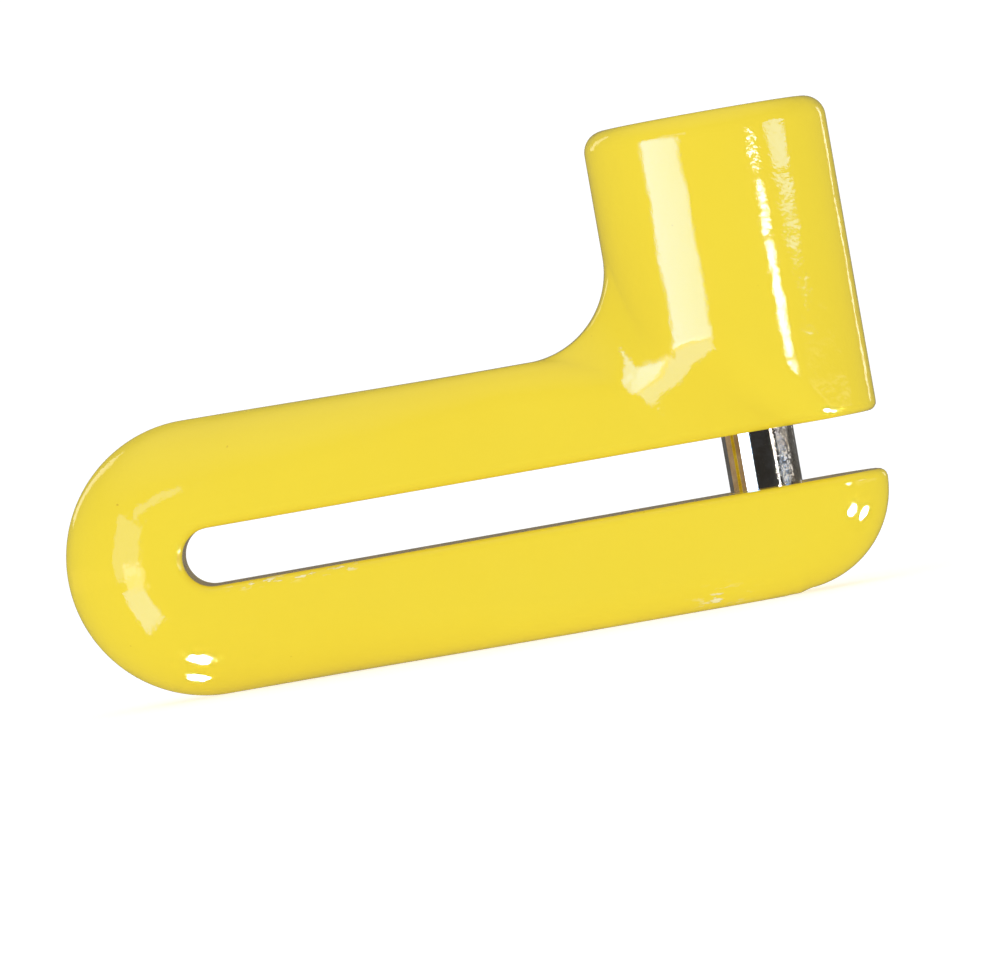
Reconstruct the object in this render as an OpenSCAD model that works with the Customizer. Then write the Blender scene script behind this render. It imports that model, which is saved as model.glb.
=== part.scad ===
// Push-to-lock brake-disc lock.
// A U-shaped jaw slips over the disc and a sliding lock cylinder drives a steel pin across its slot.
// The origin is on the ground, under the middle of the lock. +X runs along the slot to its mouth,
// +Z runs up along the locking pin, and Y is the thickness of the jaw.

/* [Jaw] */
// Height of the slot that the disc goes in
slot_h = 8; // [7:0.5:9]
// Height of each arm of the jaw
arm_h = 15; // [14:0.5:17]
// Thickness of the arms
arm_t = 20; // [18:0.5:22]
// Distance from the closed end's centre to the pin's axis
throat = 77.5; // [70:0.5:90]
// Radius of the arms' outer edges
edge_r = 4; // [3:0.5:5]

/* [Lock housing] */
// Radius of the round housing
housing_r = 16.75; // [16.5:0.25:18]
// Height of the housing's top above the upper arm
housing_rise = 29; // [29:0.5:32]
// Radius of the concave blend between the upper arm and the housing
blend_r = 12.4; // [10:0.2:14]
// Radius of the lower arm's rounded tip
tip_r = 14.2; // [13:0.2:15]

/* [Locking pin] */
// Radius of the locking pin
pin_r = 5; // [4.5:0.25:5]
// Depth that the pin enters the lower arm
pin_engage = 7; // [6:0.5:8]

/* [Lock cylinder] */
// Radius of the housing's bore
bore_r = 12; // [12:0.1:12.4]
// Radial running clearance of the sliding and turning pieces
fit = 0.08; // [0.05:0.01:0.1]
// Radius of the plug
plug_r = 6; // [5.8:0.1:6]

/* [Hidden] */

$fn = 96;
eps = 0.01;

yellow = [0.95, 0.78, 0.10];
chrome = [0.78, 0.78, 0.80];
steel = [0.60, 0.61, 0.63];
bronze = [0.72, 0.52, 0.26];
brass = [0.83, 0.68, 0.32];
zinc = [0.66, 0.67, 0.68];
rubber = [0.10, 0.10, 0.10];

// Jaw heights
slot_r = slot_h / 2;
jaw_r = slot_r + arm_h;
mid_z = jaw_r;
slot_low = mid_z - slot_r;
slot_high = mid_z + slot_r;
arm_top = mid_z + jaw_r;
rim_r = 1.2;
// The slot stops short of the bend's centre by this much, where the jaw is strongest
slot_short = 1.2;

// The lock's whole length is centred on the origin
length = jaw_r + throat + housing_r;
bend_x = jaw_r - length / 2;
pin_x = length / 2 - housing_r;

// Lower arm's tip: a quarter round seen from the side and from above
tip_reach = 2.4;
tip_x = pin_x + tip_reach;
tip_z = tip_r;

// Housing
housing_top = arm_top + housing_rise;
top_edge_r = 3;
low_edge_r = 1;
floor_t = 5;
floor_z = slot_high + floor_t;
neck_start = 7;
neck_slope = 0.8;
neck_clear = 1;
neck_low = mid_z + neck_start;
neck_high = neck_low + (housing_r + neck_clear - arm_t / 2) / neck_slope;

// Locking pin and its travel, from across the slot to clear of it
pin_low = slot_low - pin_engage;
pin_over = 0.5;
travel = pin_engage + slot_h + pin_over;
pin_above_floor = 15.5;
pin_high = floor_z + pin_above_floor;
pin_hole_r = pin_r + 0.2;
pin_hole_low = pin_low - 1;
pin_chamfer = 0.8;

// Flanged bush in the housing's floor
bush_r = 7;
bush_inset = 1.5;
bush_low = slot_high + bush_inset;
bush_flange_r = 10.5;
bush_flange_t = 1.2;
bush_top = floor_z + bush_flange_t;

// Sliding carrier
carrier_r = bore_r - fit;
carrier_above_floor = 7.5;
carrier_low = floor_z + carrier_above_floor;
carrier_high = housing_top - 1.2;
skirt_r = 9.2;
skirt_depth = 4;
skirt_top = carrier_low + skirt_depth;
dowel_r = 1;
dowel_up = 2;
dowel_z = skirt_top + dowel_up;
dowel_inset = 0.5;
dowel_len = 2 * (carrier_r - dowel_inset) - 1.8;

// Latch in a channel across the carrier, with the grooves in the bore that it enters
latch_above_pin = 1.6;
latch_low = pin_high + latch_above_pin;
latch_h = 3;
latch_ramp = 1.3;
latch_high = latch_low + latch_h;
latch_w = 7;
latch_throw = 1.6;
latch_back = 4;
latch_gap = 0.08;
latch_tip_r = carrier_r - 0.2;
groove_depth = 1.6;
groove_r = bore_r + groove_depth;
groove_gap = 0.15;
bore_chamfer = 0.5;
latch_spring_x = 9.8;
spring_channel_w = 3.3;

// Guide screw in the housing's back and its slot in the carrier
screw_r = 2;
screw_tip_r = 1.5;
screw_above_floor = 26;
screw_z = floor_z + screw_above_floor;
screw_tip_y = 10.4;
screw_out_y = bore_r + 3.3;
screw_hex_r = 1.15;
screw_hex_depth = 1.6;
screw_seal_t = 1;
guide_gap = 0.1;
guide_r = screw_tip_r + guide_gap;
guide_y = screw_tip_y - 0.2;

// Plug
plug_bore_r = plug_r + fit;
tail_r = 3.5;
tail_low = latch_high + 0.2;
plug_low = tail_low + 1.4;
plug_high = carrier_high - 0.1;
head_r = plug_r - 0.8;
head_high = housing_top - 0.5;
key_w = 2;
key_h = 7.6;
key_low = plug_low + 1.4;
ring_z = plug_low + 1;
ring_r = 0.75;
ring_y = plug_r - 0.25;
ring_depth = 1;

// Eccentric pin: a quarter turn of the plug moves it, and the latch, from side to side
drive_r = 1;
drive_e = latch_throw / (2 * sin(45));
drive_low = latch_low + 0.2;
drive_high = plug_low + 1;
drive_gap = 0.12;

// Wafers
wafers = 5;
wafer_t = 0.9;
wafer_pitch = 2.4;
wafer_first = plug_low + 3.1;
wafer_w = 4;
wafer_half = 5.6;
wafer_throw = 0.8;
wafer_gap = 0.05;
window_w = 2.3;
window_h = 5.2;
broach_w = wafer_w + 0.5;
broach_half = wafer_half + wafer_throw + 0.5;
ear_x = 3.9;
ear_h = 1.6;
wafer_spring_x = 3.05;
wafer_spring_r = 0.75;
wafer_pocket_low = -3.6;

// Face cap, drill guards and seal
cap_t = 1;
cap_chamfer = 0.4;
guard_r = 0.8;
guard_at = 9;
guard_low = plug_low + 6;
seal_above_latch = 0.9;
seal_z = latch_high + travel + seal_above_latch;
seal_r = 0.7;

// Centre height of wafer number i, counted from 0
function wafer_z(i) = wafer_first + i * wafer_pitch;
// Which way wafer number i springs out: 0 along +Y, 1 along -Y
function wafer_side(i) = i % 2;

// A rectangle with round corners; radii run anticlockwise from the low-x low-y corner
module rounded_bar(w, h, radii) {
  corners = [[0, 0], [w, 0], [w, h], [0, h]];
  difference() {
    square([w, h]);
    for (i = [0 : 3])
      if (radii[i] > 0)
        translate(corners[i])
          rotate(90 * i)
            difference() {
              translate([-1, -1])
                square(radii[i] + 1);
              translate([radii[i], radii[i]])
                circle(radii[i]);
            }
  }
}

// Section of an arm: x runs from the slot's wall outwards, y across the thickness
module arm_section() {
  translate([slot_r, -arm_t / 2])
    rounded_bar(arm_h, arm_t, [rim_r, edge_r, edge_r, rim_r]);
}

// Straight stretch of an arm along +X; side is 1 for the upper arm and -1 for the lower
module arm(len, side) {
  translate([bend_x, 0, mid_z])
    rotate([0, 90, 0])
      rotate([0, 0, side > 0 ? 180 : 0])
        linear_extrude(len)
          arm_section();
}

// Closed end of the jaw, and inside it the thicker web that ends the slot
module bend() {
  translate([bend_x, 0, mid_z])
    rotate([90, 90, 0])
      rotate_extrude(angle = -180)
        arm_section();
  translate([bend_x + slot_short, 0, mid_z])
    rotate([90, 90, 0])
      rotate_extrude(angle = -180)
        translate([slot_r, -arm_t / 2])
          rounded_bar(arm_h / 2, arm_t, [rim_r, 0, 0, rim_r]);
}

// Rounded end of the lower arm
module tip() {
  intersection() {
    translate([tip_x, 0, tip_z])
      rotate([90, 0, 0])
        rotate_extrude()
          intersection() {
            translate([-tip_r, -arm_t / 2])
              rounded_bar(2 * tip_r, arm_t, [edge_r, edge_r, edge_r, edge_r]);
            translate([0, -arm_t])
              square([2 * tip_r, 2 * arm_t]);
          }
    translate([tip_x, 0, 0])
      cylinder(r = tip_r, h = slot_low);
    translate([tip_x, -arm_t, 0])
      cube([2 * tip_r, 2 * arm_t, slot_low]);
  }
}

// Round housing, necked down to the arms' thickness at its foot
module housing() {
  difference() {
    translate([pin_x, 0, 0])
      rotate_extrude()
        intersection() {
          translate([-housing_r, slot_high])
            rounded_bar(2 * housing_r, housing_top - slot_high,
                        [low_edge_r, low_edge_r, top_edge_r, top_edge_r]);
          translate([0, slot_high])
            square([housing_r, housing_top]);
        }
    for (side = [0, 1])
      mirror([0, side, 0])
        translate([pin_x - 2 * housing_r, 0, 0])
          rotate([90, 0, 90])
            linear_extrude(4 * housing_r)
              polygon([
                [arm_t / 2, 0], [arm_t / 2, neck_low], [housing_r + 1, neck_high],
                [housing_r + 5, neck_high], [housing_r + 5, 0]
              ]);
  }
}

// Concave blend from the upper arm up to the housing
module blend() {
  centre_x = pin_x - housing_r - blend_r;
  intersection() {
    translate([centre_x, 0, arm_top + blend_r])
      rotate([90, 0, 0])
        rotate_extrude()
          translate([blend_r, -arm_t / 2])
            rounded_bar(arm_h / 2, arm_t, [edge_r, 0, 0, edge_r]);
    translate([centre_x, -arm_t, arm_top - arm_h / 2])
      cube([blend_r + arm_h / 2, 2 * arm_t, blend_r + arm_h / 2]);
  }
}

// Bore of the housing with the two grooves that the latch enters
module lock_bore() {
  translate([pin_x, 0, 0]) {
    translate([0, 0, floor_z])
      cylinder(r = bore_r, h = housing_top);
    translate([0, 0, housing_top - bore_chamfer])
      cylinder(r1 = bore_r, r2 = bore_r + bore_chamfer, h = bore_chamfer + eps);
    // The lower groove holds the latch down and the upper one has a ramp that pushes it in
    translate([0, 0, latch_low - groove_gap])
      cylinder(r = groove_r, h = latch_h + 2 * groove_gap);
    translate([0, 0, latch_low + travel - groove_gap])
      cylinder(r = groove_r, h = latch_h + 2 * groove_gap);
    translate([0, 0, latch_low + travel - groove_gap - groove_depth])
      cylinder(r1 = bore_r, r2 = groove_r, h = groove_depth);
  }
}

// Holes for the locking pin, its bush and the guide screw
module body_holes() {
  translate([pin_x, 0, pin_hole_low])
    cylinder(r = pin_hole_r, h = floor_z);
  translate([pin_x, 0, bush_low])
    cylinder(r = bush_r, h = arm_h);
  translate([pin_x, bore_r - 1, screw_z])
    rotate([-90, 0, 0])
      cylinder(r = screw_r, h = housing_r);
}

module body() {
  color(yellow)
    difference() {
      union() {
        arm(tip_x - bend_x, -1);
        arm(pin_x - bend_x, 1);
        bend();
        tip();
        housing();
        blend();
      }
      lock_bore();
      body_holes();
    }
}

module pin_bush() {
  color(bronze)
    translate([pin_x, 0, 0])
      difference() {
        union() {
          translate([0, 0, bush_low])
            cylinder(r = bush_r, h = bush_top - bush_low);
          translate([0, 0, floor_z])
            cylinder(r = bush_flange_r, h = bush_top - floor_z);
        }
        translate([0, 0, bush_low - 1])
          cylinder(r = pin_r + fit, h = bush_top);
      }
}

// Round wire wound into a coil along +Z: mean radius, wire radius, height and number of turns
module coil(mean_r, wire_r, height, turns, sides = 8, steps = 24) {
  rings = turns * steps;
  rise = height - 2 * wire_r;
  points = [
    for (i = [0 : rings], j = [0 : sides - 1])
      let (
        a = 360 * i / steps,
        b = 360 * j / sides,
        r = mean_r + wire_r * cos(b)
      )
      [r * cos(a), r * sin(a), wire_r + rise * i / rings + wire_r * sin(b)]
  ];
  walls = [
    for (i = [0 : rings - 1], j = [0 : sides - 1])
      let (k = (j + 1) % sides)
      [i * sides + j, i * sides + k, (i + 1) * sides + k, (i + 1) * sides + j]
  ];
  start = [for (j = [sides - 1 : -1 : 0]) j];
  finish = [for (j = [0 : sides - 1]) rings * sides + j];
  polyhedron(points, concat(walls, [start], [finish]), convexity = 10);
}

module return_spring() {
  color(steel)
    translate([pin_x, 0, bush_top])
      coil(7.5, 0.6, skirt_top - bush_top, 6);
}

module guide_screw() {
  color(steel)
    translate([pin_x, 0, screw_z])
      rotate([-90, 0, 0])
        difference() {
          union() {
            translate([0, 0, screw_tip_y])
              cylinder(r = screw_tip_r, h = screw_out_y - screw_tip_y);
            translate([0, 0, bore_r + 0.2])
              cylinder(r = screw_r, h = screw_out_y - bore_r - 0.2);
          }
          translate([0, 0, screw_out_y - screw_hex_depth])
            cylinder(r = screw_hex_r, h = 2 * screw_hex_depth, $fn = 6);
        }
}

module screw_seal() {
  color(yellow)
    translate([pin_x, screw_out_y, screw_z])
      rotate([-90, 0, 0])
        cylinder(r = screw_r, h = screw_seal_t);
}

// Channel across the carrier for the latch, and behind it for the latch's spring
module latch_channel() {
  translate([-bore_r - 1, -latch_w / 2 - latch_gap, latch_low - latch_gap])
    cube([bore_r + 1 + latch_back + 0.1, latch_w + 2 * latch_gap, latch_h + 2 * latch_gap]);
  translate([0, -spring_channel_w / 2, latch_low - latch_gap])
    cube([latch_spring_x, spring_channel_w, latch_h + 2 * latch_gap]);
}

// Slot down the carrier's back that the guide screw runs in
module guide_slot() {
  translate([-guide_r, guide_y, screw_z - travel])
    cube([2 * guide_r, bore_r, travel]);
  for (z = [screw_z - travel, screw_z])
    translate([0, guide_y, z])
      rotate([-90, 0, 0])
        cylinder(r = guide_r, h = bore_r);
}

module lock_carrier() {
  color(zinc)
    translate([pin_x, 0, 0])
      difference() {
        translate([0, 0, carrier_low])
          cylinder(r = carrier_r, h = carrier_high - carrier_low);
        // Pocket for the return spring
        translate([0, 0, carrier_low - 1])
          cylinder(r = skirt_r, h = skirt_top - carrier_low + 1);
        // Socket for the locking pin and the hole for its dowel
        translate([0, 0, carrier_low])
          cylinder(r = pin_r, h = pin_high - carrier_low);
        translate([0, -bore_r, dowel_z])
          rotate([-90, 0, 0])
            cylinder(r = dowel_r, h = 2 * bore_r);
        latch_channel();
        guide_slot();
        // Bore for the plug and its tail, with the grooves that the wafers spring into
        translate([0, 0, latch_low])
          cylinder(r = tail_r + fit, h = housing_top);
        translate([0, 0, plug_low - 0.1])
          cylinder(r = plug_bore_r, h = housing_top);
        for (turn = [0, 90])
          rotate([0, 0, turn])
            translate([-broach_w / 2, -broach_half, wafer_first - wafer_t])
              cube([broach_w, 2 * broach_half, housing_top]);
        // Tangential hole for the pin that keeps the plug in
        translate([-4, ring_y, ring_z])
          rotate([0, 90, 0])
            cylinder(r = ring_r, h = 2 * bore_r);
        for (a = [45 : 90 : 315])
          rotate([0, 0, a])
            translate([guard_at, 0, guard_low])
              cylinder(r = guard_r, h = housing_top);
        // Groove for the seal
        translate([0, 0, seal_z])
          rotate_extrude()
            translate([carrier_r - 2 * seal_r + 0.1, -seal_r - 0.1])
              square([3, 2 * seal_r + 0.2]);
      }
}

module locking_pin() {
  color(chrome)
    translate([pin_x, 0, 0])
      difference() {
        union() {
          translate([0, 0, pin_low])
            cylinder(r1 = pin_r - pin_chamfer, r2 = pin_r, h = pin_chamfer);
          translate([0, 0, pin_low + pin_chamfer])
            cylinder(r = pin_r, h = pin_high - pin_low - pin_chamfer);
        }
        translate([0, -bore_r, dowel_z])
          rotate([-90, 0, 0])
            cylinder(r = dowel_r, h = 2 * bore_r);
      }
}

module pin_dowel() {
  color(steel)
    translate([pin_x, -carrier_r + dowel_inset, dowel_z])
      rotate([-90, 0, 0])
        cylinder(r = dowel_r, h = dowel_len);
}

module face_cap() {
  color(chrome)
    translate([pin_x, 0, carrier_high])
      difference() {
        rotate_extrude()
          polygon([
            [0, 0], [carrier_r, 0], [carrier_r, cap_t - cap_chamfer],
            [carrier_r - cap_chamfer, cap_t], [0, cap_t]
          ]);
        translate([0, 0, -cap_t])
          cylinder(r = head_r + fit, h = 3 * cap_t);
      }
}

module drill_guard_pins() {
  color(steel)
    translate([pin_x, 0, 0])
      for (a = [45 : 90 : 315])
        rotate([0, 0, a])
          translate([guard_at, 0, guard_low])
            cylinder(r = guard_r, h = carrier_high - guard_low);
}

module carrier_seal() {
  color(rubber)
    translate([pin_x, 0, seal_z])
      rotate_extrude()
        translate([carrier_r - seal_r, 0])
          circle(seal_r, $fn = 32);
}

module plug_retainer() {
  color(steel)
    translate([pin_x - 4, ring_y, ring_z])
      rotate([0, 90, 0])
        cylinder(r = ring_r, h = 14);
}

// What wafer number i needs cut in the plug: its slot, its ear's room and its spring's pocket
module wafer_room(i) {
  half_t = wafer_t / 2 + wafer_gap;
  translate([0, 0, wafer_z(i) - half_t])
    mirror([0, wafer_side(i), 0]) {
      translate([-wafer_w / 2 - wafer_gap, -bore_r, 0])
        cube([wafer_w + 2 * wafer_gap, 2 * bore_r, 2 * half_t]);
      translate([0, -ear_h / 2 - 0.1, 0])
        cube([ear_x + wafer_gap, ear_h + wafer_throw + 0.2, 2 * half_t]);
      translate([wafer_spring_x, wafer_pocket_low, half_t])
        rotate([-90, 0, 0])
          cylinder(r = wafer_spring_r + 0.05, h = -wafer_pocket_low, $fn = 32);
    }
}

module plug() {
  color(brass)
    translate([pin_x, 0, 0])
      difference() {
        union() {
          translate([0, 0, tail_low])
            cylinder(r = tail_r, h = plug_low - tail_low);
          translate([0, 0, plug_low])
            cylinder(r = plug_r, h = plug_high - plug_low);
          translate([0, 0, plug_high])
            cylinder(r = head_r, h = head_high - plug_high);
        }
        // Keyway
        translate([-key_w / 2, -key_h / 2, key_low])
          cube([key_w, key_h, housing_top]);
        // Groove for the retaining pin
        translate([0, 0, ring_z])
          rotate_extrude()
            translate([plug_r - ring_depth - 0.1, -ring_r - 0.1])
              square([3, 2 * ring_r + 0.2]);
        drive_cylinder(0);
        for (i = [0 : wafers - 1])
          wafer_room(i);
      }
}

// The eccentric pin's cylinder at rest, grown by gap
module drive_cylinder(gap) {
  translate([drive_e * sin(45), drive_e * cos(45), drive_low])
    cylinder(r = drive_r + gap, h = drive_high - drive_low);
}

module drive_pin() {
  color(steel)
    translate([pin_x, 0, 0])
      drive_cylinder(0);
}

// Wafer number i at rest, drawn in flush with the plug as a key draws it
module wafer(i) {
  color(brass)
    translate([pin_x, 0, wafer_z(i) - wafer_t / 2])
      mirror([0, wafer_side(i), 0])
        difference() {
          union() {
            translate([-wafer_w / 2, -wafer_half, 0])
              cube([wafer_w, 2 * wafer_half, wafer_t]);
            translate([0, -ear_h / 2, 0])
              cube([ear_x, ear_h, wafer_t]);
          }
          translate([-window_w / 2, -window_h / 2, -1])
            cube([window_w, window_h, wafer_t + 2]);
        }
}

// Springs that push each wafer out, one beside each
module wafer_springs() {
  color(steel)
    translate([pin_x, 0, 0])
      for (i = [0 : wafers - 1])
        translate([0, 0, wafer_z(i)])
          mirror([0, wafer_side(i), 0])
            translate([wafer_spring_x, -ear_h / 2, 0])
              rotate([90, 0, 0])
                coil(wafer_spring_r - 0.12, 0.12, -wafer_pocket_low - ear_h / 2, 4, 6, 12);
}

module latch() {
  color(steel)
    translate([pin_x, 0, 0])
      difference() {
        intersection() {
          translate([-bore_r, -latch_w / 2, latch_low])
            cube([bore_r + latch_back, latch_w, latch_h]);
          union() {
            translate([0, 0, latch_low + latch_ramp])
              cylinder(r = latch_tip_r, h = latch_h);
            // The ramp under the tip pushes the latch in as the carrier comes down
            translate([0, 0, latch_low])
              cylinder(r1 = latch_tip_r - latch_ramp, r2 = latch_tip_r, h = latch_ramp);
          }
        }
        // Slot that the eccentric pin works in
        translate([drive_e * sin(45) - drive_r - drive_gap, -drive_r, latch_low - 1])
          cube([2 * (drive_r + drive_gap), drive_e + 2 * drive_r + drive_gap, latch_h + 2]);
      }
}

module latch_spring() {
  color(steel)
    translate([pin_x + latch_back, 0, (latch_low + latch_high) / 2])
      rotate([0, 90, 0])
        coil(1.2, 0.2, latch_spring_x - latch_back, 6, 6, 16);
}

body();
pin_bush();
return_spring();
guide_screw();
screw_seal();
lock_carrier();
locking_pin();
pin_dowel();
face_cap();
drill_guard_pins();
carrier_seal();
plug_retainer();
plug();
drive_pin();
wafer_springs();
wafer(0);  // wafer_1
wafer(1);  // wafer_2
wafer(2);  // wafer_3
wafer(3);  // wafer_4
wafer(4);  // wafer_5
latch();
latch_spring();
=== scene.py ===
"""Looks of a push-to-lock brake-disc lock: a gloss-painted casting, its plated pin and the lock in it."""

import math

import bpy
import numpy as np
from mathutils import Matrix, Vector


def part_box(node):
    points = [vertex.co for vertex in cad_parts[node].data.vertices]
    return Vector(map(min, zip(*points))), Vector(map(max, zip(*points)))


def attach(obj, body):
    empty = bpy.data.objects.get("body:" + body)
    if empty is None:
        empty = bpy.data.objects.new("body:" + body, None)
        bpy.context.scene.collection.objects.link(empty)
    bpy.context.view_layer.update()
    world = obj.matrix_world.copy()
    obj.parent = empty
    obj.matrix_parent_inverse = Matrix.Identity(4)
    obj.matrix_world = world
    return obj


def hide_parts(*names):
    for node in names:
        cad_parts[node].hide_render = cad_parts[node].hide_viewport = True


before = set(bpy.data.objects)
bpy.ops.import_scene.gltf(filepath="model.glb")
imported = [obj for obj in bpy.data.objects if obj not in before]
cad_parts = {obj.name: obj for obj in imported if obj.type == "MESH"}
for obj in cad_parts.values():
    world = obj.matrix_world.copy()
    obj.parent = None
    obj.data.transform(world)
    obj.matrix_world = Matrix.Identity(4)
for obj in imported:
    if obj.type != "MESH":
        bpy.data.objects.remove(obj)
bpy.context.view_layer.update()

MM = 0.001

# ---------------------------------------------------------------- sizes of the lock, in millimetres
body_low, body_high = (np.array(corner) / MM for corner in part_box("body"))
pin_low, pin_high = (np.array(corner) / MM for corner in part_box("locking_pin"))
cap_low, cap_high = (np.array(corner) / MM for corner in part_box("face_cap"))
bush_low, bush_high = (np.array(corner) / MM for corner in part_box("pin_bush"))

ARM_HALF = 10.0
SLOT_R = 4.0
JAW_R = 19.0
HOUSING_R = (body_high[1] - body_low[1]) / 2
TOP = body_high[2]
BEND_X = body_low[0] + JAW_R
PIN_X = body_high[0] - HOUSING_R
MID_Z = JAW_R
FLOOR_Z = 28.0
BORE_R = 12.0
GROOVE_R = 13.6
SLOT_SHORT = 1.2
SLOT_EDGE = 1.2
# How far the arms' outer edges are rounded, and what is added at the bend, at the tip and by the housing
CROWN, CROWN_BEND, CROWN_TIP, CROWN_FOOT = 5.0, 7.0, 3.5, 2.5
# The tip's radius, what it gains where it runs into the arm, and its centre past and below the pin
TIP_R, TIP_FLARE, TIP_PAST, TIP_DROP = 13.75, 0.4, 2.8, 4.8
# How far the upper arm runs past the pin, and how much lower it is by the housing
ARM_PAST, ARM_DRAFT = 2.0, 0.5
# The neck's slope, its start above the slot's middle, its lean along the arm and the place that leans from
NECK_SLOPE, NECK_START, NECK_LEAN, NECK_PIVOT = 0.8, 6.7, 0.59, 7.0
# Makes the sloping neck's field a distance again
NECK_SCALE = 0.74
SHELL_EDGE, BLEND_SIDE, BLEND_MIDDLE = 3.0, 4.5, 7.9
PIN_HOLE_R, PIN_HOLE_Z = 5.2, 7.0
BUSH_R, BUSH_Z = 7.0, 24.5
GROOVES_Z, GROOVE_HALF = (46.6, 62.1), 1.65
SCREW_R, SCREW_Y, SCREW_Z = 2.02, 11.0, 54.0
BORE_EDGE, HOLE_EDGE, SCREW_EDGE = 0.5, 0.35, 0.25
FAR = 99.0
# Rounds of moving the casting's points onto its surface, their longest step, and the least slope used
SETTLE_ROUNDS, SETTLE_STEP, LEAST_SLOPE = 6, 0.3, 0.2


# ---------------------------------------------------------------- shapes as distance fields
def ease(low, high, v):
    """0 below low, 1 above high, and between them the smooth cubic 3t^2 - 2t^3."""
    t = np.clip((v - low) / (high - low), 0, 1)
    return t * t * (3 - 2 * t)


def meet(a, b, r):
    """Both shapes at once, with a round edge of radius r where they cross."""
    return np.minimum(np.maximum(a, b), -r) + np.hypot(np.maximum(a + r, 0), np.maximum(b + r, 0))


def join(a, b, r):
    """Either shape, with a hollow corner of radius r where they cross."""
    return np.maximum(np.minimum(a, b), r) - np.hypot(np.maximum(r - a, 0), np.maximum(r - b, 0))


def crowned(outline, y, r):
    """A bar of the arms' thickness inside an outline, with its outer edges rounded by radius r.

    A radius over half the thickness makes one crown from face to face, moved in so that it still
    touches the outline in the middle.
    """
    over = np.maximum(r - ARM_HALF, 0)
    edge = outline - (r - np.sqrt(r * r - over * over))
    qx, qy = edge + r, np.abs(y) - (ARM_HALF - r)
    return np.minimum(np.maximum(qx, qy), 0) + np.hypot(np.maximum(qx, 0), np.maximum(qy, 0)) - r


def casting(x, y, z):
    """Distance field of the casting.

    The jaw is everything within the arm's height of a half-line along the slot, crowned at the bend
    and the tip. The housing is an upright cylinder that necks down to the arms' thickness along a
    sloping plane, joined to the arm by a hollow corner. The slot, the bores and the lock's grooves
    are cut out of it.
    """
    u, w = x - PIN_X, z - MID_Z
    from_slot = np.hypot(np.minimum(x - BEND_X, 0), w)
    slot_wall = SLOT_R - np.hypot(np.minimum(x - BEND_X - SLOT_SHORT, 0), w)
    bend = 1 - ease(BEND_X - 4, BEND_X + 54, x)

    tip_r = TIP_R + TIP_FLARE * (1 - ease(1.7, 3.7, u))
    tip = np.hypot(np.maximum(u - TIP_PAST, 0), np.minimum(w + TIP_DROP, 0)) - tip_r
    low_line = np.maximum(from_slot - JAW_R, np.where(u > 0, tip, -FAR))
    lower = crowned(low_line, y, CROWN + CROWN_BEND * bend + CROWN_TIP * ease(-6, 9, u))

    draft = ARM_DRAFT * ease(BEND_X - 6, BEND_X + 44, x)
    high_line = np.maximum(from_slot - JAW_R + draft, u - ARM_PAST)
    arm = crowned(high_line, y, CROWN + CROWN_BEND * bend + CROWN_FOOT * ease(-36, -16, u))
    around = np.hypot(u, y) - HOUSING_R
    rise = w - NECK_START + NECK_LEAN * (u + NECK_PIVOT)
    neck = (np.abs(y) - ARM_HALF - NECK_SLOPE * rise) * NECK_SCALE
    shell = meet(meet(around, neck, SHELL_EDGE), z - TOP, SHELL_EDGE)
    upper = join(arm, shell, BLEND_SIDE + BLEND_MIDDLE * (1 - ease(3, 10, np.abs(y))))

    solid = meet(np.where(w < 0, lower, upper), slot_wall, SLOT_EDGE)
    centre = np.hypot(u, y)
    solid = meet(solid, -np.maximum(centre - BORE_R, FLOOR_Z - z), BORE_EDGE)
    pin_hole = np.maximum(centre - PIN_HOLE_R, PIN_HOLE_Z - z)
    bush_seat = np.maximum(centre - BUSH_R, BUSH_Z - z)
    solid = meet(solid, -np.minimum(pin_hole, bush_seat), HOLE_EDGE)
    for middle in GROOVES_Z:
        groove = np.maximum(centre - GROOVE_R, np.abs(z - middle) - GROOVE_HALF)
        solid = np.maximum(solid, -groove)
    screw_hole = np.maximum(np.hypot(u, z - SCREW_Z) - SCREW_R, SCREW_Y - y)
    return meet(solid, -screw_hole, SCREW_EDGE)


def stops(*marks):
    """Grid lines along one axis: pairs of a place and the spacing from there on, then the end."""
    runs = [np.arange(a, b - 1e-9, s) for (a, s), (b, _) in zip(marks[:-1], marks[1:])]
    return np.concatenate(runs + [[marks[-1][0]]])


def slope(field, points):
    """The field's gradient at each point, by central differences."""
    half = 1e-3
    steps = np.eye(3) * half
    return np.stack([(field(*(points + s).T) - field(*(points - s).T)) / (2 * half) for s in steps], 1)


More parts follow.
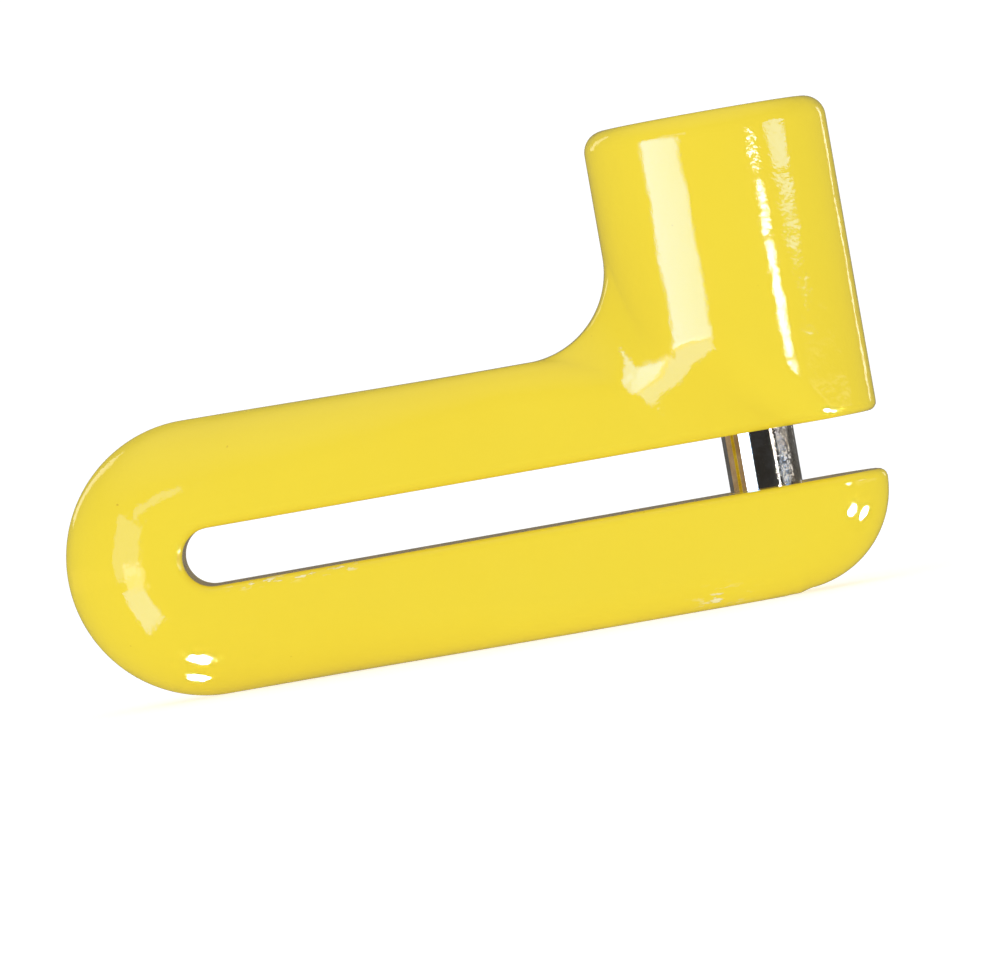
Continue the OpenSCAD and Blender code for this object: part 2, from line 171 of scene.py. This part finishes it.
def skin(field, xs, ys, zs):
    """The surface where a distance field is zero, as points, quads and outward normals.

    The field is sampled on a grid. Each grid cell that the surface crosses gets one point, the mean
    of where its edges cross zero, and each grid edge that crosses gets the quad of its four cells.
    The points then move down the gradient onto the surface.
    """
    sample = field(*np.meshgrid(xs, ys, zs, indexing="ij"))
    inside = sample < 0
    nx, ny, nz = inside.shape
    corners = [(i, j, k) for i in (0, 1) for j in (0, 1) for k in (0, 1)]
    count = sum(inside[i:nx - 1 + i, j:ny - 1 + j, k:nz - 1 + k].astype(np.int8) for i, j, k in corners)
    crossed = (count > 0) & (count < 8)
    number = np.full(crossed.shape, -1)
    number[crossed] = np.arange(crossed.sum())
    cell = np.argwhere(crossed)
    lines = (xs, ys, zs)
    total, hits = np.zeros((len(cell), 3)), np.zeros((len(cell), 1))
    faces = []
    for axis in range(3):
        a1, a2 = (axis + 1) % 3, (axis + 2) % 3
        for p, q in ((0, 0), (0, 1), (1, 0), (1, 1)):
            start = cell.copy()
            start[:, a1] += p
            start[:, a2] += q
            end = start.copy()
            end[:, axis] += 1
            fa, fb = sample[tuple(start.T)], sample[tuple(end.T)]
            cut = ((fa < 0) != (fb < 0))[:, None]
            share = (fa / np.where(fa == fb, 1, fa - fb))[:, None]
            pa = np.stack([lines[c][start[:, c]] for c in range(3)], 1)
            pb = np.stack([lines[c][end[:, c]] for c in range(3)], 1)
            total += np.where(cut, pa + (pb - pa) * share, 0)
            hits += cut
        low, high = [slice(1, -1)] * 3, [slice(1, -1)] * 3
        low[axis], high[axis] = slice(0, -1), slice(1, None)
        at = np.argwhere(inside[tuple(low)] != inside[tuple(high)])
        at[:, a1] += 1
        at[:, a2] += 1
        ring = []
        for p, q in ((-1, -1), (0, -1), (0, 0), (-1, 0)):
            near = at.copy()
            near[:, a1] += p
            near[:, a2] += q
            ring.append(number[tuple(near.T)])
        quad = np.stack(ring, 1)
        outwards = ~inside[tuple(at.T)]
        quad[outwards] = quad[outwards][:, ::-1]
        faces.append(quad)
    points = total / hits
    for _ in range(SETTLE_ROUNDS):
        g = slope(field, points)
        move = field(*points.T) / np.maximum((g * g).sum(1), LEAST_SLOPE)
        points -= np.clip(move, -SETTLE_STEP, SETTLE_STEP)[:, None] * g
    normals = slope(field, points)
    normals /= np.linalg.norm(normals, axis=1)[:, None]
    return points, np.concatenate(faces), normals


# ---------------------------------------------------------------- from arrays to pieces
CORNER_STEPS = 5


def piece(name, points, faces, normals, body, node, slot_name, finish):
    """Makes a mesh object from arrays in millimetres, gives it its finish, hangs it under its body and hides
    the frame's part that it replaces.
    """
    mesh = bpy.data.meshes.new(name)
    mesh.from_pydata((points * MM).tolist(), [], faces)
    mesh.polygons.foreach_set("use_smooth", np.ones(len(mesh.polygons), bool))
    mesh.normals_split_custom_set_from_vertices(normals.tolist())
    made = bpy.data.objects.new(name, mesh)
    bpy.context.scene.collection.objects.link(made)
    mesh.materials.append(finish)
    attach(made, body)
    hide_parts(node)
    return made


def keep_on_points(made, name, values):
    """Stores one number for each of a piece's points, for its finish to read."""
    made.data.attributes.new(name, "FLOAT", "POINT").data.foreach_set("value", values.astype(np.float32))


def softened(corners, radii, closed=True):
    """A polygon with its corners rounded, as points and outward normals.

    Each corner becomes an arc tangent to both its sides. Going round anticlockwise with the profile's
    first number as r and the second as z, the outside is on the right.
    """
    corners = np.array(corners, float)
    points, normals = [], []
    for i, (corner, radius) in enumerate(zip(corners, radii)):
        ahead = corners[(i + 1) % len(corners)] - corner
        behind = corner - corners[i - 1]
        if not closed and i == 0:
            behind = ahead
        if not closed and i == len(corners) - 1:
            ahead = behind
        d0, d1 = behind / np.hypot(*behind), ahead / np.hypot(*ahead)
        n0, n1 = np.array([d0[1], -d0[0]]), np.array([d1[1], -d1[0]])
        turn = math.atan2(d0[0] * d1[1] - d0[1] * d1[0], d0 @ d1)
        if abs(turn) < 1e-6:
            points.append(corner[None])
            normals.append(n0[None])
            continue
        reach = radius * math.tan(abs(turn) / 2)
        side = 1 if turn > 0 else -1
        centre = corner - d0 * reach - n0 * radius * side
        angle = turn * np.linspace(0, 1, CORNER_STEPS)[:, None]
        normal = n0 * np.cos(angle) + d0 * np.sin(angle)
        points.append(centre + normal * radius * side)
        normals.append(normal)
    return np.concatenate(points), np.concatenate(normals)


def band_faces(rows, columns, close_rows=False, start_pole=None, end_pole=None):
    """Quads of a grid whose columns run round and meet, and the fans that close its ends."""
    r = np.arange(rows if close_rows else rows - 1)
    c = np.arange(columns)
    a = (r[:, None] * columns + c).ravel()
    b = (r[:, None] * columns + (c + 1) % columns).ravel()
    up = (((r + 1) % rows)[:, None] * columns + c).ravel()
    up_b = (((r + 1) % rows)[:, None] * columns + (c + 1) % columns).ravel()
    faces = np.stack([a, b, up_b, up], 1).tolist()
    if start_pole is not None:
        faces += np.stack([(c + 1) % columns, c, np.full(columns, start_pole)], 1).tolist()
    if end_pole is not None:
        last = (rows - 1) * columns
        faces += np.stack([last + c, last + (c + 1) % columns, np.full(columns, end_pole)], 1).tolist()
    return faces


def turned(profile, normals, centre, axis="z", closed=False, sides=128):
    """A turned piece: the profile of (radius, height) carried once round its axis.

    An open profile starts and ends on the axis and is closed there with one point.
    """
    angle = np.linspace(0, 2 * np.pi, sides, endpoint=False)
    poles = [] if closed else [profile[0], profile[-1]]
    pole_normals = [] if closed else [normals[0], normals[-1]]
    ring, ring_n = (profile, normals) if closed else (profile[1:-1], normals[1:-1])
    radius, height = ring[:, :1], ring[:, 1:]
    one = np.ones(sides)
    p = np.stack([radius * np.cos(angle), radius * np.sin(angle), height * one], -1).reshape(-1, 3)
    n = np.stack([ring_n[:, :1] * np.cos(angle), ring_n[:, :1] * np.sin(angle), ring_n[:, 1:] * one], -1)
    n = n.reshape(-1, 3)
    count = len(ring)
    if closed:
        faces = band_faces(count, sides, close_rows=True)
    else:
        p = np.concatenate([p, [[0, 0, poles[0][1]], [0, 0, poles[1][1]]]])
        n = np.concatenate([n, [[0, 0, pole_normals[0][1]], [0, 0, pole_normals[1][1]]]])
        faces = band_faces(count, sides, start_pole=count * sides, end_pole=count * sides + 1)
    if axis == "y":
        p, n = p[:, [1, 2, 0]], n[:, [1, 2, 0]]
    return p + np.array(centre), faces, n


# ---------------------------------------------------------------- finishes
class Finish:
    """A material with the few nodes that every finish of the lock is made from."""

    def __init__(self, name):
        self.material = bpy.data.materials.new(name)
        self.material.use_nodes = True
        self.tree = self.material.node_tree
        self.tree.nodes.clear()
        self.shader = self.tree.nodes.new("ShaderNodeBsdfPrincipled")
        output = self.tree.nodes.new("ShaderNodeOutputMaterial")
        self.tree.links.new(self.shader.outputs[0], output.inputs["Surface"])
        self.place = self.tree.nodes.new("ShaderNodeTexCoord").outputs["Object"]

    def link(self, source, target):
        self.tree.links.new(source, target)

    def fixed(self, **values):
        for socket, value in values.items():
            self.shader.inputs[socket.replace("_", " ")].default_value = value

    def stretched(self, scale):
        node = self.tree.nodes.new("ShaderNodeMapping")
        node.inputs["Scale"].default_value = scale
        self.link(self.place, node.inputs["Vector"])
        return node.outputs[0]

    def noise(self, scale, detail=2.0, rough=0.5, place=None):
        node = self.tree.nodes.new("ShaderNodeTexNoise")
        node.inputs["Scale"].default_value = scale
        node.inputs["Detail"].default_value = detail
        node.inputs["Roughness"].default_value = rough
        self.link(place or self.place, node.inputs["Vector"])
        return node.outputs["Fac"]

    def spread(self, value, low, high, to_low=0.0, to_high=1.0):
        node = self.tree.nodes.new("ShaderNodeMapRange")
        for socket, number in zip(("From Min", "From Max", "To Min", "To Max"), (low, high, to_low, to_high)):
            node.inputs[socket].default_value = number
        self.link(value, node.inputs["Value"])
        return node.outputs["Result"]

    def sum(self, how, a, b):
        node = self.tree.nodes.new("ShaderNodeMath")
        node.operation = how
        for socket, value in zip(node.inputs, (a, b)):
            if isinstance(value, float):
                socket.default_value = value
            else:
                self.link(value, socket)
        return node.outputs[0]

    def blend(self, share, a, b):
        node = self.tree.nodes.new("ShaderNodeMix")
        node.data_type = "RGBA"
        for socket, value in zip((node.inputs[0], node.inputs[6], node.inputs[7]), (share, a, b)):
            if isinstance(value, (tuple, float)):
                socket.default_value = value
            else:
                self.link(value, socket)
        return node.outputs[2]

    def bump(self, height, depth, over=None):
        node = self.tree.nodes.new("ShaderNodeBump")
        node.inputs["Strength"].default_value = 1.0
        node.inputs["Distance"].default_value = depth
        self.link(height, node.inputs["Height"])
        if over is not None:
            self.link(over, node.inputs["Normal"])
        return node.outputs[0]

    def to(self, socket, source):
        self.link(source, self.shader.inputs[socket])

    def attribute(self, name):
        node = self.tree.nodes.new("ShaderNodeAttribute")
        node.attribute_name = name
        return node.outputs["Fac"]


# How far tool marks are squeezed along each axis: alike in all of them, or rings round an upright one
FINE_GRAIN = (2500, 2500, 2500)
TURNED = (60, 60, 9000)


def rgb(r, g, b):
    return (r, g, b, 1.0)


def gloss_enamel():
    """Thick yellow enamel: slow colour drift, orange peel, and scuffs where the disc and ground rub."""
    f = Finish("gloss_yellow_enamel")
    f.fixed(IOR=1.5)
    drift = f.noise(38, 3)
    tone = f.blend(drift, rgb(0.86, 0.662, 0.045), rgb(0.88, 0.70, 0.051))
    fleck = f.spread(f.noise(700, 1), 0.80, 0.86)
    tone = f.blend(fleck, tone, rgb(0.62, 0.40, 0.03))
    scuff = f.attribute("scuff")
    grain = f.noise(1, 3, 0.6, f.stretched((420, 900, 1700)))
    scraped = f.sum("MULTIPLY", scuff, f.spread(grain, 0.56, 0.60))
    tone = f.blend(scraped, tone, rgb(0.93, 0.86, 0.55))
    f.to("Base Color", tone)
    gloss = f.spread(f.noise(120, 2), 0.3, 0.7, 0.04, 0.09)
    f.to("Roughness", f.sum("ADD", gloss, f.sum("MULTIPLY", scraped, 0.35)))
    peel = f.bump(f.noise(240, 1.0, 0.4), 0.00009)
    fine = f.bump(f.noise(1500, 2.0), 0.00002, peel)
    f.to("Normal", f.bump(scraped, 0.00005, fine))
    return f.material


def metal(name, light, dark, rough, scale=260, marks=FINE_GRAIN, depth=0.000003, patchy=0.5):
    """A bare or plated metal: two close tones, uneven roughness and fine tool marks or grain."""
    f = Finish(name)
    f.fixed(Metallic=1.0, IOR=1.5)
    tarnish = f.spread(f.noise(scale, 4, 0.62), 0.3, 0.75, 0.0, patchy)
    f.to("Base Color", f.blend(tarnish, light, dark))
    f.to("Roughness", f.spread(f.noise(scale * 3.1, 3), 0.3, 0.7, rough * 0.85, rough * 1.2))
    grain = f.noise(1, 2, 0.5, f.stretched(marks))
    f.to("Normal", f.bump(grain, depth))
    return f.material


def spun_stainless():
    """Stainless sheet faced on a lathe: rings that follow the distance from the lock's axis."""
    f = Finish("spun_stainless")
    f.fixed(Metallic=1.0, IOR=1.5)
    rings = f.tree.nodes.new("ShaderNodeTexNoise")
    rings.noise_dimensions = "1D"
    rings.inputs["Scale"].default_value = 7.0
    rings.inputs["Detail"].default_value = 4.0
    f.link(f.attribute("radius_mm"), rings.inputs["W"])
    ring = rings.outputs["Fac"]
    smudge = f.spread(f.noise(140, 3), 0.35, 0.7)
    tone = f.blend(f.spread(ring, 0.3, 0.7), rgb(0.66, 0.65, 0.64), rgb(0.56, 0.55, 0.54))
    f.to("Base Color", tone)
    f.to("Roughness", f.sum("ADD", f.spread(ring, 0.3, 0.7, 0.2, 0.3), f.sum("MULTIPLY", smudge, 0.06)))
    f.to("Normal", f.bump(ring, 0.000008))
    return f.material


def bright_plating():
    """Bright plating with faint turning marks, a warm tarnish, and one side speckled by wear."""
    f = Finish("bright_nickel_plating")
    f.fixed(Metallic=1.0, IOR=1.5)
    tarnish = f.spread(f.noise(420, 4, 0.62), 0.36, 0.70)
    tone = f.blend(tarnish, rgb(0.80, 0.77, 0.73), rgb(0.60, 0.52, 0.40))
    speck = f.spread(f.noise(1, 3, 0.7, f.stretched((3200, 3200, 2300))), 0.49, 0.55)
    worn = f.sum("MULTIPLY", f.attribute("worn_side"), speck)
    f.to("Base Color", f.blend(worn, tone, rgb(0.14, 0.12, 0.105)))
    rough = f.spread(f.noise(900, 3), 0.3, 0.7, 0.05, 0.09)
    f.to("Roughness", f.sum("ADD", rough, f.sum("MULTIPLY", worn, 0.3)))
    marks = f.bump(f.noise(1, 2, 0.5, f.stretched(TURNED)), 0.000002)
    f.to("Normal", f.bump(worn, 0.000003, marks))
    return f.material


enamel = gloss_enamel()
plating = bright_plating()
stainless = spun_stainless()
hard_steel = metal("oiled_steel", rgb(0.50, 0.50, 0.51), rgb(0.34, 0.33, 0.32), 0.32)
spring_wire = metal("spring_wire", rgb(0.56, 0.56, 0.57), rgb(0.38, 0.36, 0.34), 0.26, 500)
zinc = metal(
    "satin_zinc_cylinder", rgb(0.66, 0.66, 0.67), rgb(0.50, 0.50, 0.51), 0.24, 200, TURNED, 0.000002, 0.35
)
bush_bronze = metal(
    "sintered_bronze", rgb(0.66, 0.43, 0.22), rgb(0.45, 0.28, 0.14), 0.42, 600, depth=0.00001
)
brass_core = metal("turned_brass", rgb(0.80, 0.61, 0.27), rgb(0.64, 0.46, 0.20), 0.26, 240, patchy=0.4)
brass_wafer = metal("stamped_brass", rgb(0.80, 0.62, 0.29), rgb(0.66, 0.48, 0.21), 0.3, 330)


def nitrile():
    """Greased black rubber with a dull, slightly mottled skin."""
    f = Finish("greased_rubber")
    f.fixed(IOR=1.45)
    f.to("Base Color", f.blend(f.noise(300, 3), rgb(0.012, 0.012, 0.013), rgb(0.03, 0.03, 0.031)))
    f.to("Roughness", f.spread(f.noise(500, 2), 0.3, 0.7, 0.32, 0.55))
    f.to("Normal", f.bump(f.noise(2600, 2), 0.000008))
    return f.material


rubber = nitrile()

# ---------------------------------------------------------------- the casting
points, faces, normals = skin(
    casting,
    stops((-57.6, 0.55), (-22, 1.1), (-4, 0.55), (57.6, 0)),
    stops((-17.7, 0.5), (17.7, 0)),
    stops((-0.9, 0.5), (67.9, 0)),
)
body = piece("body_casting", points, faces.tolist(), normals, "casing", "body", "yellow_paint", enamel)


def scuffs(p):
    """Where the enamel is rubbed: along the slot's lower rims and in one patch under the lower arm.

    Each is a product of bell curves across the rub and smooth steps at its ends.
    """
    u, y, w = p[:, 0] - PIN_X, np.abs(p[:, 1]), p[:, 2] - MID_Z
    rim = np.exp(-((w + SLOT_R + 0.5) / 0.45) ** 2) * np.exp(-((y - ARM_HALF + 0.3) / 0.9) ** 2)
    rim *= ease(-76, -72, u) * (1 - ease(-58, -54, u))
    under = np.exp(-((w + 17.6) / 1.2) ** 2) * np.exp(-((u + 9) / 2.6) ** 2) * ease(5, 8, y)
    return np.clip(rim + under, 0, 1)


keep_on_points(body, "scuff", scuffs(points))

# ---------------------------------------------------------------- turned pieces
AXIS = (PIN_X, 0, 0)

pin_r = (pin_high[0] - pin_low[0]) / 2
PIN_CHAMFER = 0.8
profile = softened(
    [
        (0, pin_low[2]),
        (pin_r - PIN_CHAMFER, pin_low[2]),
        (pin_r, pin_low[2] + PIN_CHAMFER),
        (pin_r, pin_high[2]),
        (0, pin_high[2]),
    ],
    [0, 0.3, 0.5, 0.2, 0],
    closed=False,
)
points, faces, normals = turned(*profile, AXIS)
pin = piece("locking_pin_plated", points, faces, normals, "bolt", "locking_pin", "plated_pin", plating)
across = (points[:, 0] - PIN_X) / pin_r
# The wear is a flat-topped bell across the pin's front, centred this far out and this wide, in radii
WORN_AT, WORN_HALF = 0.62, 0.24
worn_side = np.exp(-((across - WORN_AT) / WORN_HALF) ** 4) * (points[:, 1] < 0)
keep_on_points(pin, "worn_side", worn_side)

cap_r, cap_hole = (cap_high[0] - cap_low[0]) / 2, 5.28
# How wide and how deep the cap is dished round its hole
DISH_W, DISH_H = 0.9, 0.35
profile = softened(
    [
        (cap_hole, cap_low[2]),
        (cap_r, cap_low[2]),
        (cap_r, cap_high[2]),
        (cap_hole + DISH_W, cap_high[2]),
        (cap_hole, cap_high[2] - DISH_H),
    ],
    [0.05, 0.05, 0.4, 0.5, 0.12],
)
points, faces, normals = turned(*profile, AXIS, closed=True, sides=160)
cap = piece("face_cap_polished", points, faces, normals, "bolt", "face_cap", "stainless", stainless)
keep_on_points(cap, "radius_mm", np.hypot(points[:, 0] - PIN_X, points[:, 1]))

bush_hole, flange_r = 5.08, (bush_high[0] - bush_low[0]) / 2
profile = softened(
    [
        (bush_hole, bush_low[2]),
        (BUSH_R, bush_low[2]),
        (BUSH_R, FLOOR_Z),
        (flange_r, FLOOR_Z),
        (flange_r, bush_high[2]),
        (bush_hole, bush_high[2]),
    ],
    [0.3, 0.3, 0.1, 0.1, 0.3, 0.3],
)
piece("pin_bush_flanged", *turned(*profile, AXIS, closed=True), "casing", "pin_bush", "bronze", bush_bronze)

seal_low, seal_high = (np.array(corner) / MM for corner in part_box("screw_seal"))
seal_r = (seal_high[0] - seal_low[0]) / 2
# How far the seal's rim is below its middle, and the part of its radius that is flat
SEAL_DOME, SEAL_FLAT = 0.15, 0.4
profile = softened(
    [
        (0, seal_low[1]),
        (seal_r, seal_low[1]),
        (seal_r, seal_high[1] - SEAL_DOME),
        (seal_r * SEAL_FLAT, seal_high[1]),
        (0, seal_high[1]),
    ],
    [0, 0.05, 0.3, 1.0, 0],
    closed=False,
)
piece(
    "screw_seal_painted",
    *turned(*profile, (PIN_X, 0, (seal_low[2] + seal_high[2]) / 2), axis="y", sides=64),
    "casing",
    "screw_seal",
    "yellow_paint",
    enamel,
)

# ---------------------------------------------------------------- finishes of the pieces kept from the frame
KEPT = {
    hard_steel: ("guide_screw", "pin_dowel", "drill_guard_pins", "plug_retainer", "drive_pin", "latch"),
    spring_wire: ("return_spring", "latch_spring", "wafer_springs"),
    zinc: ("lock_carrier",),
    brass_core: ("plug",),
    brass_wafer: ("wafer_1", "wafer_2", "wafer_3", "wafer_4", "wafer_5"),
    rubber: ("carrier_seal",),
}
for finish, names in KEPT.items():
    for name in names:
        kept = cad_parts[name].data
        kept.materials.clear()
        kept.materials.append(finish)

# ---------------------------------------------------------------- stage, lights and camera


def sweep():
    """The floor and backdrop: a profile that runs level, turns up along a quarter circle and rises."""
    turn = np.linspace(0, np.pi / 2, 24)
    reach, curve, tall = 2.0, 0.8, 3.0
    depth = np.concatenate([[-reach], reach - curve + curve * np.sin(turn), [reach]])
    height = np.concatenate([[0.0], curve - curve * np.cos(turn), [tall]])
    across = np.linspace(-tall, tall, 13)
    rows, columns = len(depth), len(across)
    p = np.stack(np.broadcast_arrays(across, depth[:, None], height[:, None]), -1).reshape(-1, 3)
    a = (np.arange(rows - 1)[:, None] * columns + np.arange(columns - 1)).ravel()
    mesh = bpy.data.meshes.new("studio_sweep")
    mesh.from_pydata(p.tolist(), [], np.stack([a, a + 1, a + columns + 1, a + columns], 1).tolist())
    mesh.polygons.foreach_set("use_smooth", np.ones(len(mesh.polygons), bool))
    made = bpy.data.objects.new("studio_sweep", mesh)
    bpy.context.scene.collection.objects.link(made)
    f = Finish("matt_white_sweep")
    f.to("Base Color", f.blend(f.noise(3, 2), rgb(0.50, 0.50, 0.50), rgb(0.53, 0.53, 0.53)))
    f.fixed(Roughness=0.9, Specular_IOR_Level=0.1)
    f.shader.inputs["Emission Color"].default_value = rgb(1, 1, 1)
    f.shader.inputs["Emission Strength"].default_value = 0.60
    mesh.materials.append(f.material)
    made.visible_glossy = False


sweep()


def lamp(
    name, place, aim, wide, tall, radiance, tint=(1, 1, 1), shape="RECTANGLE",
    lights=False, shines=True, beam=180,
):
    """A flat lamp at a place in millimetres, turned towards aim.

    One that lights gives diffuse light, and one that shines is seen in gloss. The beam is the width,
    in degrees, that its light keeps to.
    """
    way = Vector(place) - Vector(aim)
    data = bpy.data.lights.new(name, "AREA")
    data.shape = shape
    data.size, data.size_y = wide * MM, tall * MM
    filled = math.pi / 4 if shape == "ELLIPSE" else 1
    data.energy = radiance * data.size * data.size_y * math.pi * filled
    data.color = tint
    data.spread = math.radians(beam)
    made = bpy.data.objects.new(name, data)
    made.rotation_mode = "QUATERNION"
    made.location = Vector(place) * MM
    made.rotation_quaternion = way.to_track_quat("Z", "Y")
    made.visible_camera = False
    made.visible_diffuse = lights
    made.visible_glossy = shines
    bpy.context.scene.collection.objects.link(made)


def round_about(point, azimuth, height, distance):
    """A place that far from a point, in degrees right of straight ahead, at a height above the ground."""
    a = math.radians(azimuth)
    return (point[0] + distance * math.sin(a), point[1] - distance * math.cos(a), height)


# Places that lamps are aimed at or set out from, and the tint of the large cards
BARREL = (PIN_X, -HOUSING_R, 45)
PIN = (PIN_X, -5, 19)
BEND = (BEND_X - 4, -9, 5)
TIP = (PIN_X + 10.5, -8, 10)
CARD = (0.2, 0.5, 1.0)
lamp("soft_key", (-420, -620, 420), (0, 0, 30), 900, 900, 0.45, lights=True, shines=False)
lamp("soft_fill", (520, -700, 160), (0, 0, 30), 800, 800, 0.27, lights=True, shines=False)
lamp("softbox_housing", (-20, -79, 54), (0, -79, 54), 86, 52, 7.8, CARD, beam=160)
lamp("softbox_left", (-137, -199, 50), (0, -199, 50), 240, 86, 2.6, CARD)
lamp("softbox_left_low", (-126, -172, -34), (0, -172, -34), 184, 66, 6.0, CARD)
lamp("softbox_above_bend", (-130, -250, 150), (BEND_X, -10, 32), 130, 44, 2.8, CARD)
lamp("strip_right", round_about(BARREL, 41.8, 41, 500), BARREL, 76, 44, 28, shape="ELLIPSE")
lamp("card_far_right", round_about(BARREL, 68, 93, 500), (PIN_X, -17, 93), 220, 80, 7.2, CARD, "ELLIPSE")
lamp("rim_right", round_about(BARREL, 143, 96, 500), (PIN_X, 0, 96), 30, 160, 2.4)
lamp("rim_left", (-300, 380, 250), (BEND_X, 0, 30), 90, 260, 1.2)
lamp("pin_left_white", (-90, -145, 14.5), (PIN_X, -145, 14.5), 172, 15, 3.2)
lamp("pin_right", round_about(PIN, 80, -2, 500), PIN, 420, 34, 1.0)
lamp("pin_left_gold", round_about(PIN, -95, 12, 300), PIN, 390, 34, 0.36, (0.85, 0.50, 0.12))
BELOW = {"shape": "ELLIPSE"}
lamp("below_bend_near", (-62, -41, -76.5), BEND, 16.5, 20.5, 28, beam=26, **BELOW)
lamp("below_bend_far", (-63, 13, -80), BEND, 15.5, 15, 24, beam=26, **BELOW)
lamp("below_tip_near", (267, -184, -102), TIP, 106, 34, 28, beam=13, **BELOW)
lamp("below_tip_far", (312, -61, -124), TIP, 100, 34, 28, beam=13, **BELOW)

world = bpy.data.worlds.new("studio")
bpy.context.scene.world = world
world.use_nodes = True
tree = world.node_tree
tree.nodes.clear()
path = tree.nodes.new("ShaderNodeLightPath")


def backdrop_value(test, yes, no):
    """One value for the rays that a test picks out, and another for the rest."""
    node = tree.nodes.new("ShaderNodeMix")
    tree.links.new(test, node.inputs[0])
    for socket, value in ((node.inputs[3], yes), (node.inputs[2], no)):
        if isinstance(value, float):
            socket.default_value = value
        else:
            tree.links.new(value, socket)
    return node.outputs[0]


way = tree.nodes.new("ShaderNodeTexCoord")
split = tree.nodes.new("ShaderNodeSeparateXYZ")
tree.links.new(way.outputs["Generated"], split.inputs[0])
# What gloss sees of the studio is dim ahead of the lock and brighter overhead and behind it
brighter = tree.nodes.new("ShaderNodeMath")
brighter.operation = "MAXIMUM"
RAMPS = (("Z", (0.55, 0.95, 0.05, 0.6)), ("Y", (-0.7, 0.5, 0.05, 0.17)))
for place, (axis_name, numbers) in enumerate(RAMPS):
    ramp = tree.nodes.new("ShaderNodeMapRange")
    for socket, number in zip(("From Min", "From Max", "To Min", "To Max"), numbers):
        ramp.inputs[socket].default_value = number
    tree.links.new(split.outputs[axis_name], ramp.inputs["Value"])
    tree.links.new(ramp.outputs["Result"], brighter.inputs[place])
seen = backdrop_value(path.outputs["Is Glossy Ray"], brighter.outputs[0], 1.06)
seen = backdrop_value(path.outputs["Is Camera Ray"], 1.0, seen)
sky = tree.nodes.new("ShaderNodeBackground")
tree.links.new(seen, sky.inputs["Strength"])
out = tree.nodes.new("ShaderNodeOutputWorld")
tree.links.new(sky.outputs[0], out.inputs["Surface"])

# The camera looks level along Y and is rolled to one side
ROLL = math.radians(10)
eye = Vector((0.0006, -1.2, 0.0418))
look_at = Vector((0.00384, 0.0, 0.0212))
forward = (look_at - eye).normalized()
right = forward.cross(Vector((math.sin(ROLL), 0, math.cos(ROLL)))).normalized()
up = right.cross(forward)
camera = bpy.data.cameras.new("camera")
camera.lens, camera.sensor_width, camera.sensor_fit = 315.4, 36, "HORIZONTAL"
camera.clip_start, camera.clip_end = 0.05, 20
viewer = bpy.data.objects.new("camera", camera)
viewer.matrix_world = Matrix((right, up, -forward)).transposed().to_4x4()
viewer.location = eye
bpy.context.scene.collection.objects.link(viewer)
bpy.context.scene.camera = viewer
bpy.context.scene.view_settings.view_transform = "Standard"
bpy.context.scene.view_settings.look = "None"
